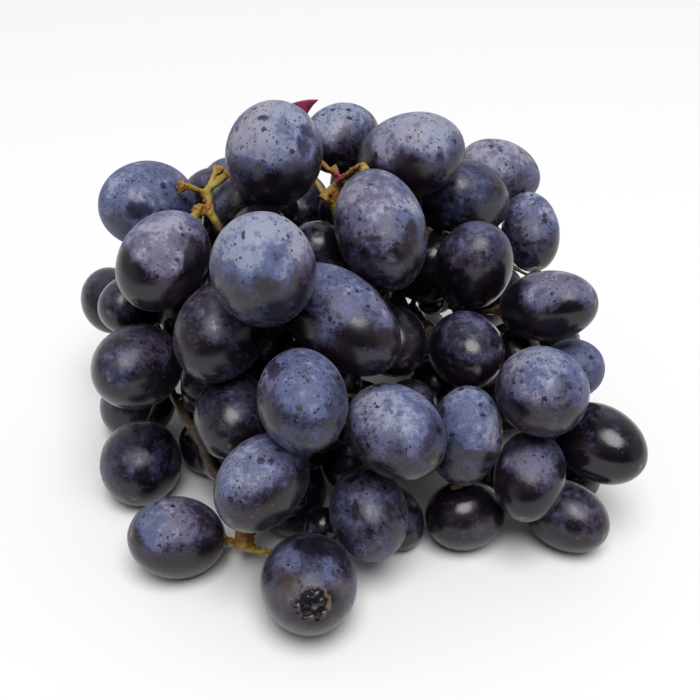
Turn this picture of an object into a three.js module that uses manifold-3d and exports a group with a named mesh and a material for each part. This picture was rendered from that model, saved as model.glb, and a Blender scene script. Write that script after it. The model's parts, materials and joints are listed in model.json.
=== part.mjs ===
// A bunch of large black table grapes, lying on a table: one branched woody stem, the berries that it carries
// and a scrap of torn skin left on one stalk. Millimetres, +Z up, the front towards -Y, the table at z = 0.
import * as THREE from "three";
import { mergeVertices } from "three/addons/utils/BufferGeometryUtils.js";
import Module from "manifold-3d";

const wasm = await Module();
wasm.setup();

// Driving sizes of a berry, in mm. Its width comes with its place, below.
const LENGTH_SHARE = 1.28; // length over width of a usual berry
const LEAN_SHARE = 1.05; // how much longer a berry is, at least, than it looks from the front
const TABLE_LEAN_SHARE = 1.03; // the same for a berry that lies on the table
const SKIN_GAP = 0.4; // between two skins that touch
const PRESSED_FLAT = 0.6; // how far its own weight presses a berry flat on the table
const BERRY_SIDES = 12; // facets round a berry
const BERRY_RINGS = 8; // steps from its stalk end to its tip

// Driving sizes of the stem, in mm.
const STALK_RADIUS = 1; // of the stalk of one berry
const STALK_END_RADIUS = 2.1; // of the swollen end that holds the berry
const STALK_END_LENGTH = 2.6; // of that swollen end
const STALK_GAP = 0.3; // between the swollen end and the skin
const STALK_ROOM = 0.5; // between a stalk and the other berries that it passes
const BRANCH_ROOM = 0.8; // between a branch and the berries
const STALK_SIDES = 5;
const STALK_STEP = 9; // between two rings of a stalk
const BRANCH_SIDES = 6;
const BRANCH_STEP = 7; // between two rings of a branch
const TORN_SKIN_THICKNESS = 0.8;
const TORN_SKIN_LEAN = THREE.MathUtils.degToRad(64); // leans back a little
const TORN_SKIN_FOOT = [-14.6, 39.6, 83.6];

// Where the front of the bunch is looked at from. A berry that the front shows is placed by where it appears
// in a square view from here, in pixels, and by how far back it is, in mm.
const EYE_RISE = THREE.MathUtils.degToRad(35); // above the table, looking down at the bunch
const EYE_DISTANCE = 300; // from the eye to the middle of what it sees
const VIEW_MIDDLE = new THREE.Vector3(0, 0, 36);
const VIEW_SIZE = 700; // pixels across and down
const VIEW_LENS = 1090; // from the eye to the picture, in pixels

// The tips of the berries point away from this place inside the bunch.
const BUNCH_CORE = new THREE.Vector3(0, 16, 30);

// The berries that the front shows, with what the view shows of each: its name, how far across and down its
// middle is, half its length and half its width, all in pixels, and where its tip points, in degrees from the
// right, up being 90. Then how far back it is, in mm, and how much pale bloom it has, from 0 to 1.
const FRONT_BERRIES = [
  ["a", 274, 155, 53, 48.5, 80, 18, 1],
  ["b", 263, 270.5, 57.5, 53, 100, -20, 1],
  ["c", 379, 231, 62, 45, -75, -3, 0.9],
  ["d", 411, 156, 54, 42, 15, 26, 0.75],
  ["e", 341, 139, 39, 35, 20, 44, 0.35],
  ["f", 465, 198, 45, 38, -15, 33, 0.35],
  ["g", 499, 172, 42, 31, -20, 50, 0.45],
  ["h", 530, 232, 40, 28.5, 98, 38, 0.3],
  ["i", 473, 266, 45, 39, 70, 10, 0.2],
  ["j", 548, 306, 49, 35, 5, -6, 0.4],
  ["k", 464, 350, 40, 37.5, -60, -12, 0.1],
  ["l", 541, 392, 47, 45, -30, -30, 0.6],
  ["m", 572, 369, 32, 30, 10, -14, 0.45],
  ["n", 598, 443, 50, 38, -30, -32, 0.1],
  ["o", 530, 475, 46, 35.5, -100, -41, 0.35],
  ["p", 566, 515.5, 44, 34, -28, -37, 0.55],
  ["q", 466, 436, 50, 36.5, 82, -35, 0.7],
  ["r", 463, 514, 40, 35, -165, -37, 0.3],
  ["s", 395.5, 431.5, 54, 45, -40, -45, 0.75],
  ["t", 302, 401, 53, 45, -78, -43, 0.75],
  ["u", 340, 318, 70, 46, -40, -22, 0.75],
  ["v", 220, 329, 55, 45, -120, -24, 0.8],
  ["w", 236, 417, 44, 40, -100, -33, 0.7],
  ["x", 262, 480.5, 54, 43, -130, -52, 0.7],
  ["y", 167.5, 259.5, 53.5, 43.5, -125, -3, 0.5],
  ["z", 148, 205, 48, 42.5, -170, 23, 0.6],
  ["aa", 236, 215, 41, 33, 60, 24, 0.5],
  ["bb1", 213, 202, 34, 31, -120, 30, 0.6],
  ["bb2", 229, 188, 30, 28, 90, 42, 0.6],
  ["cc", 138, 366, 46, 42, -155, -15, 0.5],
  ["dd", 143, 461, 43, 40, -100, -17, 0.35],
  ["ee", 177, 537, 48.5, 40.5, 176, -46, 0.55],
  ["ff", 313, 579.5, 50.5, 48, -75, -62, 0.4],
  ["gg", 365, 517, 48, 39, -78, -44, 0.75],
  ["hh", 397, 519, 34, 27, -60, -36, 0.6],
  ["ii", 111, 300, 33, 29, 100, 20, 0.4],
  ["jj", 133, 305, 33, 29.5, -160, 0, 0.4],
  ["kk", 163, 266, 49, 40, -150, 20, 0.5],
  ["ll", 138, 404, 38, 35, -150, 6, 0.5],
  ["mm", 207, 384, 38, 31, -100, -12, 0.5],
  ["nn", 210, 445, 33, 31, 170, -10, 0.1],
  ["ss", 188, 312, 32, 29, -150, 8, 0.5],
  ["oo", 318, 258, 37, 34, 90, 6, 0.3],
  ["pp", 270, 214, 30, 28, 90, 30, 0.3],
  ["qq", 394, 340, 38, 34, -60, -6, 0.2],
  ["rr", 428, 268, 36, 33, 60, 24, 0.1],
  ["uu", 290, 491, 44, 37, -100, -28, 0.2],
  ["vv", 350, 457, 35, 30, -90, -18, 0.3],
];

// The berries that the front hides: name, x, y and z in mm, width in mm, and where the tip points.
const HIDDEN_BERRIES = [
  ["back_top", 5, 50, 68, 21, 0.1, 0.8, 0.6],
  ["back_top_right", 27, 50, 54, 21, 0.2, 0.7, 0.7],
  ["back_top_left", -17, 52, 56, 21, -0.3, 0.9, 0.3],
  ["back_left", -42, 44, 36, 21, -0.8, 0.7, 0],
  ["back_middle", 4, 54, 36, 22, 0, 1, 0.1],
  ["back_low_right", 42, 38, 30, 20, 0.8, 0.6, -0.1],
  ["back_low_left", -20, 50, 28, 21, -0.3, 1, -0.2],
  ["table_back", 22, 42, 11, 21, 0.3, 0.9, -0.2],
  ["table_left", -36, 32, 11, 21, -0.9, 0.3, -0.2],
  ["table_right", 45, 12, 11, 21, 0.9, 0.2, -0.2],
];
const LYING_IN_FRONT = ["dd", "ee", "ff", "hh", "p", "r", "ll", "uu", "nn"];
const LYING_ON_TABLE = [...LYING_IN_FRONT, "table_back", "table_left", "table_right"];
const TIP_TO_THE_EYE = "ff"; // lies on the table with its tip towards the eye
const HIDDEN_BLOOM = 0.5;

// The branches of the stem: hand-laid points in mm from where each one starts, with its radius there and at
// its far end. The berries keep clear of them.
const BRANCHES = {
  main: {
    thick: 2.9,
    thin: 1.8,
    points: [
      [-27, -48, 8], [-26, -40, 16], [-22, -28, 24], [-14, -12, 31],
      [-5, 6, 38], [1, 20, 44], [3, 34, 48],
    ],
  },
  lowLeft: {
    thick: 1.7,
    thin: 1.2,
    points: [[-26, -40, 16], [-34, -34, 19], [-38.5, -27, 25], [-45, -17, 28], [-50, -4, 27], [-53, 8, 26]],
  },
  highLeft: {
    thick: 1.8,
    thin: 1.2,
    points: [
      [-5, 6, 38], [-14, 3, 46], [-24, 3, 56], [-32, 5, 67],
      [-38, 13, 77], [-32, 16, 81.5], [-27, 21, 81],
    ],
  },
  upTheMiddle: { thick: 1.8, thin: 1.3, points: [[1, 20, 44], [-2, 21, 56], [-4, 21, 66], [-4, 22, 76]] },
  lowRight: {
    thick: 2,
    thin: 1.2,
    points: [[-10, -4, 34.5], [4, -7, 29], [18, -12, 26], [32, -18, 24], [42, -21, 26], [49, -21, 28]],
  },
  highRight: { thick: 1.7, thin: 1.2, points: [[1, 20, 44], [9, 17, 51], [16, 14, 58], [22, 15, 66]] },
  backRight: {
    thick: 1.7,
    thin: 1.2,
    points: [[3, 34, 48], [13, 36, 44], [24, 38, 44], [36, 36, 46], [43, 30, 50]],
  },
  backLeft: { thick: 1.8, thin: 1.2, points: [[-5, 6, 38], [-18, 12, 42], [-30, 18, 46], [-37, 26, 52]] },
  lowBackRight: {
    thick: 1.8,
    thin: 1.2,
    points: [[-5, 6, 38], [-3, 14, 28], [4, 24, 18], [18, 24, 14], [30, 20, 12]],
  },
  lowBackLeft: { thick: 1.5, thin: 1.2, points: [[4, 24, 18], [-8, 30, 16], [-18, 32, 16]] },
};

// Stalks whose berry has come off, each from its branch out to its swollen end. The last one holds the torn
// skin.
const BARE_STALKS = [
  [[-37, 12, 75], [-39.5, 12, 79], [-44, 9.5, 81]],
  [[-36, 11, 73], [-38.5, 9, 75.5], [-40, 6, 75.5]],
  [[-37, 13, 76], [-37, 19, 78.5], [-35.5, 24, 79]],
  [[-4, 22, 74], [-5.5, 21, 74], [-7.5, 19.5, 72]],
  [[-4, 22, 75], [-3, 21.5, 78], [-5, 23, 80]],
  [[-4, 22, 68], [-11, 30, 75], [-14, 38, 82]],
];

const DOWN = new THREE.Vector3(0, 0, -1);
const rightward = new THREE.Vector3(1, 0, 0);
const inward = new THREE.Vector3(0, Math.cos(EYE_RISE), -Math.sin(EYE_RISE));
const upward = new THREE.Vector3(0, Math.sin(EYE_RISE), Math.cos(EYE_RISE));
const eye = VIEW_MIDDLE.clone().addScaledVector(inward, -EYE_DISTANCE);
const toVectors = (points) => points.map((point) => new THREE.Vector3(...point));
const smoothCurve = (points) => new THREE.CatmullRomCurve3(toVectors(points));

// A berry that the front shows. It looks as long as it is only when it lies across the view, so a shorter
// look means that it leans towards the eye or away from it.
function shownBerry([name, across, down, longPixels, widePixels, tip, y, bloom]) {
  const line = inward
    .clone()
    .addScaledVector(rightward, (across - VIEW_SIZE / 2) / VIEW_LENS)
    .addScaledVector(upward, (VIEW_SIZE / 2 - down) / VIEW_LENS);
  const depth = (y - eye.y) / line.y;
  const middle = eye.clone().addScaledVector(line, depth);
  const away = line.clone().normalize();
  const right = rightward.clone().addScaledVector(away, -rightward.dot(away)).normalize();
  const up = right.clone().cross(away);

  const looks = longPixels / widePixels;
  const liesAcross = LYING_ON_TABLE.includes(name) && name !== TIP_TO_THE_EYE;
  const share = liesAcross ? looks * TABLE_LEAN_SHARE : Math.max(looks * LEAN_SHARE, LENGTH_SHARE);
  const squareAcross = (looks ** 2 - 1) / (share ** 2 - 1);
  const leansAway = middle.clone().sub(BUNCH_CORE).dot(away) > 0 ? 1 : -1;
  const angle = THREE.MathUtils.degToRad(tip);
  const axis = right
    .multiplyScalar(Math.cos(angle))
    .addScaledVector(up, Math.sin(angle))
    .multiplyScalar(Math.sqrt(squareAcross))
    .addScaledVector(away, leansAway * Math.sqrt(1 - squareAcross));

  // its half width for each mm that it is away from the eye
  const widthShare = widePixels / VIEW_LENS / line.length();
  const halfWidth = widthShare * middle.distanceTo(eye);
  return { name, middle, axis, halfWidth, halfLength: halfWidth * share, bloom, away, share, widthShare };
}

function hiddenBerry([name, x, y, z, width, tipX, tipY, tipZ]) {
  return {
    name,
    middle: new THREE.Vector3(x, y, z),
    axis: new THREE.Vector3(tipX, tipY, tipZ).normalize(),
    halfWidth: width / 2,
    halfLength: (width / 2) * LENGTH_SHARE,
    bloom: HIDDEN_BLOOM,
  };
}

// How far a berry reaches from its middle in a direction, and the point of it that is furthest that way.
function reach({ axis, halfLength, halfWidth }, direction) {
  return Math.sqrt(halfWidth ** 2 + (halfLength ** 2 - halfWidth ** 2) * axis.dot(direction) ** 2);
}
function furthest(berry, direction) {
  const { axis, halfLength, halfWidth } = berry;
  return direction
    .clone()
    .multiplyScalar(halfWidth ** 2)
    .addScaledVector(axis, (halfLength ** 2 - halfWidth ** 2) * axis.dot(direction))
    .divideScalar(reach(berry, direction));
}

// The room between two berries, and the direction across it. The direction is turned step by step until the
// room is widest, which is where the two skins are nearest.
const TURNS = 12;
function roomBetween(one, other) {
  const apart = other.middle.clone().sub(one.middle);
  const length = apart.length();
  const direction = apart.clone().divideScalar(length);
  for (let turn = 0; turn < TURNS; turn++) {
    const slope = apart.clone().sub(furthest(one, direction)).sub(furthest(other, direction));
    slope.addScaledVector(direction, -slope.dot(direction));
    direction.addScaledVector(slope, 1 / length).normalize();
  }
  return { room: apart.dot(direction) - reach(one, direction) - reach(other, direction), direction };
}

// Moves a berry. One that the front shows moves freely only along the line of sight, to keep its place in the
// view.
function move(berry, way, aside) {
  if (!berry.away) {
    berry.middle.add(way);
    return;
  }
  const deep = way.dot(berry.away);
  berry.middle.addScaledVector(berry.away, deep * (1 - aside)).addScaledVector(way, aside);
}

// The berries press each other, the branches and the table apart, and near neighbours draw together, until
// they touch without crossing.
const ROUNDS = 260;
const DRAWING_ROUNDS = 180;
const HOMING_ROUNDS = 220;
const NEIGHBOUR_ROOM = 5; // neighbours further apart than this leave each other alone
const DRAW = 0.02; // share of their room that neighbours lose in a round
const PRESS = 0.5; // share of a crossing that each berry gives way in a round
const ASIDE = 0.35; // how much of a push moves a shown berry across the view
const SETTLE = 0.7; // share of its height over the table that a berry loses in a round
const HOMING = 0.06; // share of the way back to its place in the view
function pressBerries(one, other, round) {
  if (one.middle.distanceTo(other.middle) > one.halfLength + other.halfLength + NEIGHBOUR_ROOM) return;
  const { room, direction } = roomBetween(one, other);
  const crossing = SKIN_GAP - room;
  if (room > NEIGHBOUR_ROOM || (crossing < 0 && round >= DRAWING_ROUNDS)) return;
  const push = direction.clone().multiplyScalar(crossing * (crossing > 0 ? PRESS : DRAW));
  const aside = crossing > 0 ? ASIDE : 0;
  move(other, push, aside);
  move(one, push.clone().negate(), aside);
}
function pressOffStem(berry, { point, radius }) {
  const apart = berry.middle.clone().sub(point);
  const length = apart.length();
  apart.divideScalar(length);
  const crossing = radius + BRANCH_ROOM + reach(berry, apart) - length;
  if (crossing > 0) move(berry, apart.multiplyScalar(crossing * PRESS), ASIDE);
}
function bringHome(berry) {
  const height = reach(berry, DOWN) - PRESSED_FLAT;
  const toTable = (height - eye.z) / berry.away.z;
  const depth = berry.onTable ? toTable : berry.middle.clone().sub(eye).dot(berry.away);
  berry.middle.lerp(eye.clone().addScaledVector(berry.away, depth), HOMING);
  berry.halfWidth = berry.widthShare * berry.middle.distanceTo(eye);
  berry.halfLength = berry.halfWidth * berry.share;
}
function settle(berries, stemPoints) {
  for (let round = 0; round < ROUNDS; round++) {
    berries.forEach((berry, i) => {
      for (const other of berries.slice(i + 1)) pressBerries(berry, other, round);
      for (const stemPoint of stemPoints) pressOffStem(berry, stemPoint);
      const height = berry.middle.z - reach(berry, DOWN) + (berry.onTable ? PRESSED_FLAT : 0);
      if (height < 0 || berry.onTable) berry.middle.z -= height * SETTLE;
      if (berry.away && round < HOMING_ROUNDS) bringHome(berry);
    });
  }
}

// How deep a point is inside a berry grown by some room, and the way out.
function depthInside(point, berry, room) {
  const across = point.clone().sub(berry.middle);
  const along = across.dot(berry.axis);
  across.addScaledVector(berry.axis, -along);
  const length = berry.halfLength + room;
  const width = berry.halfWidth + room;
  const share = Math.hypot(along / length, across.length() / width);
  const out = across.divideScalar(width ** 2).addScaledVector(berry.axis, along / length ** 2);
  return { depth: (1 - share) * width, out: out.normalize() };
}

// Whether a berry stands between the eye and a point.
function hides(berry, point) {
  const nearest = new THREE.Line3(eye, point).closestPointToPoint(berry.middle, true, new THREE.Vector3());
  return nearest.distanceTo(berry.middle) < berry.halfWidth && nearest.distanceTo(point) > berry.halfWidth;
}

// The route of a stalk from its berry to its foot: a string of points that pulls itself straight while the
// berries push it out. Its cost tells how long it is, how badly it is pinched and how much the front shows.
const STRING_STEP = 3;
const STRING_ROUNDS = 60;
const STRAIGHTEN = 0.4;
const PINCH_COST = 12;
const SHOWN_COST = 3;
function stalkRoute(berry, foot, berries) {
  const back = berry.axis.clone().negate();
  const end = berry.middle.clone().addScaledVector(back, berry.halfLength + STALK_GAP);
  const start = end.clone().addScaledVector(back, STALK_END_LENGTH);
  const count = Math.max(3, Math.ceil(start.distanceTo(foot) / STRING_STEP));
  const points = [end];
  for (let i = 0; i <= count; i++) points.push(start.clone().lerp(foot, i / count));
  const inner = points.slice(1, -1);
  let pinch = 0;
  for (let round = 0; round < STRING_ROUNDS; round++) {
    pinch = 0;
    for (let i = 2; i < points.length - 1; i++) {
      const between = points[i - 1].clone().add(points[i + 1]).multiplyScalar(0.5);
      points[i].lerp(between, STRAIGHTEN);
    }
    for (const point of inner) {
      for (const other of berries) {
        const { depth, out } = depthInside(point, other, STALK_RADIUS + STALK_ROOM);
        if (depth <= 0) continue;
        point.addScaledVector(out, depth);
        pinch = Math.max(pinch, depth);
      }
    }
  }
  const length = inner.reduce((sum, point, i) => sum + point.distanceTo(points[i]), 0);
  const shown = inner.filter((point) => !berries.some((other) => hides(other, point))).length;
  return { points, cost: length + pinch * PINCH_COST + shown * SHOWN_COST };
}

// Every berry gets the cheapest stalk of those to some near places on the stem. The berries nearest to a
// branch go first, and the others may join their stalks.
const FEET_TRIED = 24;
const FEET_APART = 4;
const UNSHARED_POINTS = 4; // the points of a stalk next to its berry, which no other stalk joins
function layStalks(berries, branchPoints) {
  const feet = [...branchPoints];
  const toFoot = (berry) => {
    const end = berry.middle.clone().addScaledVector(berry.axis, -berry.halfLength - STALK_END_LENGTH);
    return [...feet].sort((one, other) => one.distanceTo(end) - other.distanceTo(end));
  };
  const furthestFoot = new Map(
    berries.map((berry) => [berry, toFoot(berry)[0].distanceTo(berry.middle) - berry.halfLength]),
  );
  const waiting = [...berries].sort((one, other) => furthestFoot.get(one) - furthestFoot.get(other));
  return waiting.map((berry) => {
    const tried = toFoot(berry).filter((_, i) => i % FEET_APART === 0).slice(0, FEET_TRIED);
    const routes = tried.map((foot) => stalkRoute(berry, foot, berries));
    const best = routes.reduce((one, other) => (other.cost < one.cost ? other : one));
    feet.push(...best.points.slice(UNSHARED_POINTS, -1));
    return best.points;
  });
}

// A solid for joining and cutting, and a shape made from one.
const MERGE = 1e-4;
function toSolid(geometry) {
  const bare = geometry.clone();
  bare.deleteAttribute("normal");
  bare.deleteAttribute("uv");
  const merged = mergeVertices(bare, MERGE);
  const vertProperties = new Float32Array(merged.attributes.position.array);
  const triVerts = new Uint32Array(merged.index.array);
  return new wasm.Manifold(new wasm.Mesh({ numProp: 3, vertProperties, triVerts }));
}
function toGeometry(solid) {
  const { vertProperties, triVerts } = solid.getMesh();
  const geometry = new THREE.BufferGeometry();
  geometry.setAttribute("position", new THREE.BufferAttribute(new Float32Array(vertProperties), 3));
  geometry.setIndex(new THREE.BufferAttribute(new Uint32Array(triVerts), 1));
  geometry.computeVertexNormals();
  return geometry;
}

// A round bar bent along a curve: a turned shape with a ring at each station, its rings then moved onto the
// curve.
const ANY_SIDE = new THREE.Vector3(0.3, 0.5, 0.8); // along none of the branches
function bentBar(curve, stations, sides) {
  const profile = stations.map(({ radius }, i) => new THREE.Vector2(radius, i));
  const ends = [new THREE.Vector2(0, 0), new THREE.Vector2(0, stations.length - 1)];
  const geometry = new THREE.LatheGeometry([ends[0], ...profile, ends[1]], sides);
  const length = curve.getLength();
  const side = ANY_SIDE.clone();
  const rings = stations.map(({ at }) => {
    const share = Math.min(at / length, 1);
    const along = curve.getTangentAt(share);
    side.addScaledVector(along, -side.dot(along)).normalize();
    return { middle: curve.getPointAt(share), side: side.clone(), other: side.clone().cross(along) };
  });
  const place = geometry.attributes.position;
  for (let i = 0; i < place.count; i++) {
    const { middle, side: one, other } = rings[Math.round(place.getY(i))];
    const point = middle.clone().addScaledVector(one, place.getX(i)).addScaledVector(other, place.getZ(i));
    place.setXYZ(i, ...point);
  }
  return toSolid(geometry);
}

function branchSolid({ curve, thick, thin }) {
  const length = curve.getLength();
  const count = Math.round(length / BRANCH_STEP);
  const stations = Array.from({ length: count + 1 }, (_, i) => ({
    at: (length * i) / count,
    radius: THREE.MathUtils.lerp(thick, thin, i / count),
  }));
  return bentBar(curve, stations, BRANCH_SIDES);
}

// A stalk, from its swollen end to its foot.
function stalkSolid(points) {
  const curve = new THREE.CatmullRomCurve3(points, false, "chordal");
  const plain = curve.getLength() - STALK_END_LENGTH;
  const count = Math.max(2, Math.round(plain / STALK_STEP));
  const stations = [{ at: 0, radius: STALK_END_RADIUS }];
  for (let i = 0; i <= count; i++) {
    stations.push({ at: STALK_END_LENGTH + (plain * i) / count, radius: STALK_RADIUS });
  }
  return bentBar(curve, stations, STALK_SIDES);
}

// A turned oval with its tip at +Y.
function ovalGeometry(halfLength, halfWidth) {
  const profile = [];
  for (let i = 0; i <= BERRY_RINGS; i++) {
    const angle = Math.PI * (1 - i / BERRY_RINGS);
    const onAxis = i === 0 || i === BERRY_RINGS;
    profile.push(new THREE.Vector2(onAxis ? 0 : halfWidth * Math.sin(angle), halfLength * Math.cos(angle)));
  }
  return new THREE.LatheGeometry(profile, BERRY_SIDES);
}
function turnOf(berry) {
  return new THREE.Quaternion().setFromUnitVectors(new THREE.Vector3(0, 1, 0), berry.axis);
}
function grownInPlace(berry, room) {
  const geometry = ovalGeometry(berry.halfLength + room, berry.halfWidth + room);
  return geometry.applyQuaternion(turnOf(berry)).translate(...berry.middle);
}

// Lowers a berry of the table until its lowest facet is as far below the table as it is pressed flat.
function restOnTable(berry) {
  const geometry = grownInPlace(berry, 0);
  geometry.computeBoundingBox();
  berry.middle.z -= geometry.boundingBox.min.z + PRESSED_FLAT;
}

// Nearly black and a little shiny where the skin is bare, dull grey-blue where the bloom is thick.
const BARE_SKIN = { color: new THREE.Color(0x2a2632), roughness: 0.35 };
const THICK_BLOOM = { color: new THREE.Color(0x6a7295), roughness: 0.65 };
function skinMaterial(bloom) {
  return new THREE.MeshStandardMaterial({
    color: BARE_SKIN.color.clone().lerp(THICK_BLOOM.color, bloom),
    roughness: THREE.MathUtils.lerp(BARE_SKIN.roughness, THICK_BLOOM.roughness, bloom),
    metalness: 0,
  });
}

// A berry in its place. One that lies on the table has its underside cut flat there.
const BLOCK = 60; // a block wider than a berry, for that cut
function berryMesh(berry) {
  const mesh = new THREE.Mesh(ovalGeometry(berry.halfLength, berry.halfWidth), skinMaterial(berry.bloom));
  mesh.name = `berry_${berry.name}`;
  if (berry.onTable) {
    const block = new THREE.BoxGeometry(BLOCK, BLOCK, BLOCK);
    block.translate(berry.middle.x, berry.middle.y, -BLOCK / 2);
    mesh.geometry = toGeometry(toSolid(grownInPlace(berry, 0)).subtract(toSolid(block)));
  } else {
    mesh.quaternion.copy(turnOf(berry));
    mesh.position.copy(berry.middle);
  }
  return mesh;
}

// The whole stem: branches and stalks in one, with the berries' room cut out of it.
function stemMesh(branches, bareStalks, stalks, berries) {
  const bars = [
    ...branches.map(branchSolid),
    ...bareStalks.map((points) => stalkSolid([...points].reverse())),
    ...stalks.map(stalkSolid),
  ];
  const room = wasm.Manifold.union(berries.map((berry) => toSolid(grownInPlace(berry, STALK_GAP))));
  const pieces = wasm.Manifold.union(bars).subtract(room).decompose();
  const whole = pieces.reduce((one, other) => (other.volume() > one.volume() ? other : one));
  const bark = new THREE.MeshStandardMaterial({ color: 0x8a7434, roughness: 0.75, metalness: 0 });
  const mesh = new THREE.Mesh(toGeometry(whole), bark);
  mesh.name = "stem";
  return mesh;
}

// A pointed scrap of a torn berry's skin, standing on the end of the last bare stalk.
function tornSkinMesh() {
  const outline = new THREE.Shape();
  outline.moveTo(-1.2, 0);
  outline.quadraticCurveTo(-4, 3, -3, 6.5);
  outline.quadraticCurveTo(1, 8.6, 6, 8.2);
  outline.quadraticCurveTo(2.5, 5.5, 1.2, 0);
  const shape = { depth: TORN_SKIN_THICKNESS, bevelEnabled: false, curveSegments: 4 };
  const skin = new THREE.MeshStandardMaterial({ color: 0x7a1440, roughness: 0.4, metalness: 0 });
  const mesh = new THREE.Mesh(new THREE.ExtrudeGeometry(outline, shape), skin);
  mesh.name = "torn_skin";
  mesh.rotation.x = TORN_SKIN_LEAN;
  mesh.position.set(...TORN_SKIN_FOOT);
  return mesh;
}

const berries = [...FRONT_BERRIES.map(shownBerry), ...HIDDEN_BERRIES.map(hiddenBerry)];
for (const berry of berries) berry.onTable = LYING_ON_TABLE.includes(berry.name);

const STEM_POINT_STEP = 1.5; // between the points that keep the berries off a branch
const BARE_STALK_POINTS = 6;
const branches = Object.values(BRANCHES).map((branch) => ({ ...branch, curve: smoothCurve(branch.points) }));
const branchPoints = branches.flatMap(({ curve, thick, thin }) => {
  const count = Math.ceil(curve.getLength() / STEM_POINT_STEP);
  return curve.getSpacedPoints(count).map((point, i) => ({
    point,
    radius: THREE.MathUtils.lerp(thick, thin, i / count),
  }));
});
const bareStalks = BARE_STALKS.map(toVectors);
const bareStalkPoints = BARE_STALKS.flatMap((points) =>
  smoothCurve(points)
    .getSpacedPoints(BARE_STALK_POINTS)
    .map((point, i) => ({ point, radius: i + 1 < BARE_STALK_POINTS ? STALK_RADIUS : STALK_END_RADIUS })),
);
settle(berries, [...branchPoints, ...bareStalkPoints]);
for (const berry of berries) if (berry.onTable) restOnTable(berry);
const stalks = layStalks(berries, branchPoints.map(({ point }) => point));

const bunch = new THREE.Group();
bunch.add(stemMesh(branches, bareStalks, stalks, berries), tornSkinMesh(), ...berries.map(berryMesh));

// The origin is under the middle of the bunch, on the table.
bunch.updateMatrixWorld(true);
const middle = new THREE.Box3().setFromObject(bunch, true).getCenter(new THREE.Vector3());
bunch.position.set(-middle.x, -middle.y, 0);

export default bunch;
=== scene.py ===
# %% [markdown]
# # A bunch of black grapes
# The solid model of the bunch is loaded first, as a frame that nothing moves. Each of its berries is a
# plain turned oval and its stem is a net of straight-sided bars. In this lesson each berry gets a fine skin
# with bloom, spots and small scars, and the stem gets bark and warts, in exactly the places that the solids
# hold.

# %% Load the frame
import json
import math

import bmesh
import bpy
import numpy as np
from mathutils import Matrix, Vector, noise
from mathutils.bvhtree import BVHTree
from mathutils.kdtree import KDTree


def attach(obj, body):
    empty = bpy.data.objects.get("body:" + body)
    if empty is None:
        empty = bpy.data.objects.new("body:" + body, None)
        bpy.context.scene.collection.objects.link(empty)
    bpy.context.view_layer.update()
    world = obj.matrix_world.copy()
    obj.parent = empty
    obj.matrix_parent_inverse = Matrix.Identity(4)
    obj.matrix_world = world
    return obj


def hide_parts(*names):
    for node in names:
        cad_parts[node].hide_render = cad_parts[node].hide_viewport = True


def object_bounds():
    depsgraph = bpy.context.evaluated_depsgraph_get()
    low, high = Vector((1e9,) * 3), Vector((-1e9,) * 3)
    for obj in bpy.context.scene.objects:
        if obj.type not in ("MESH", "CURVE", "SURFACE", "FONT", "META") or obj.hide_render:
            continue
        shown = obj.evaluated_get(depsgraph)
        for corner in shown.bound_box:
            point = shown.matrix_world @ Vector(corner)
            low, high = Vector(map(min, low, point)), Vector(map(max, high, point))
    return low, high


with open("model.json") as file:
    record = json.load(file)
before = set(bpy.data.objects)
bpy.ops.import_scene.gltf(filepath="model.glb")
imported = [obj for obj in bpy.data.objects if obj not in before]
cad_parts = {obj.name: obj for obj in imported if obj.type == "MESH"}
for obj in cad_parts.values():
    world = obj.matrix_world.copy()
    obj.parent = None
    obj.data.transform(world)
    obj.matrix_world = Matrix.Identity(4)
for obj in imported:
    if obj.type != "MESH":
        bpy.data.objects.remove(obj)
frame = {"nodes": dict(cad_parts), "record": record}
solid_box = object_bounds()
MM = 0.001


def in_mm(box):
    return [[round(c / MM, 1) for c in corner] for corner in box]


print("solids:", len(frame["nodes"]), "box in mm:", in_mm(solid_box))

# %% [markdown]
# ## The camera
# The bunch is seen from the front and 35 degrees above the table, from 300 mm away. The same eye placed the
# berries of the solid model, so what is seen at a pixel here is also where it was read.

# %% Camera
VIEW_SIZE = 700
VIEW_LENS = 1090
EYE_RISE = math.radians(35)
EYE = Vector((2.118, -241.51, 208.07)) * MM
INWARD = Vector((0, math.cos(EYE_RISE), -math.sin(EYE_RISE)))
UPWARD = Vector((0, math.sin(EYE_RISE), math.cos(EYE_RISE)))
RIGHTWARD = Vector((1, 0, 0))
MARK_FALL = 0.7
MARK_EDGE = 1.5

camera = bpy.data.objects.new("camera", bpy.data.cameras.new("camera"))
bpy.context.scene.collection.objects.link(camera)
camera.location = EYE
camera.rotation_euler = (math.pi / 2 - EYE_RISE, 0, 0)
camera.data.sensor_width = 36
camera.data.lens = VIEW_LENS / VIEW_SIZE * camera.data.sensor_width
camera.data.clip_start = 0.01
bpy.context.scene.camera = camera


def line_of_sight(across, down):
    sideways = (across - VIEW_SIZE / 2) / VIEW_LENS
    upwards = (VIEW_SIZE / 2 - down) / VIEW_LENS
    return (INWARD + RIGHTWARD * sideways + UPWARD * upwards).normalized()


def seen_at(places):
    """How far across and down the picture each place is seen."""
    from_eye = places - np.array(EYE)
    deep = from_eye @ np.array(INWARD)
    across = VIEW_SIZE / 2 + VIEW_LENS * (from_eye @ np.array(RIGHTWARD)) / deep
    down = VIEW_SIZE / 2 - VIEW_LENS * (from_eye @ np.array(UPWARD)) / deep
    return across, down


def marked(places, marks):
    """How strongly each place lies in a soft-edged mark: across, down, half width, half height, strength."""
    across, down = seen_at(places)
    strongest = np.zeros(len(places))
    for middle, level, half_wide, half_high, strength in marks:
        away = ((across - middle) / half_wide) ** 2 + ((down - level) / half_high) ** 2
        strongest = np.maximum(strongest, strength * np.exp(-MARK_FALL * away ** MARK_EDGE))
    return strongest


print("lens in mm:", round(camera.data.lens, 2))

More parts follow.
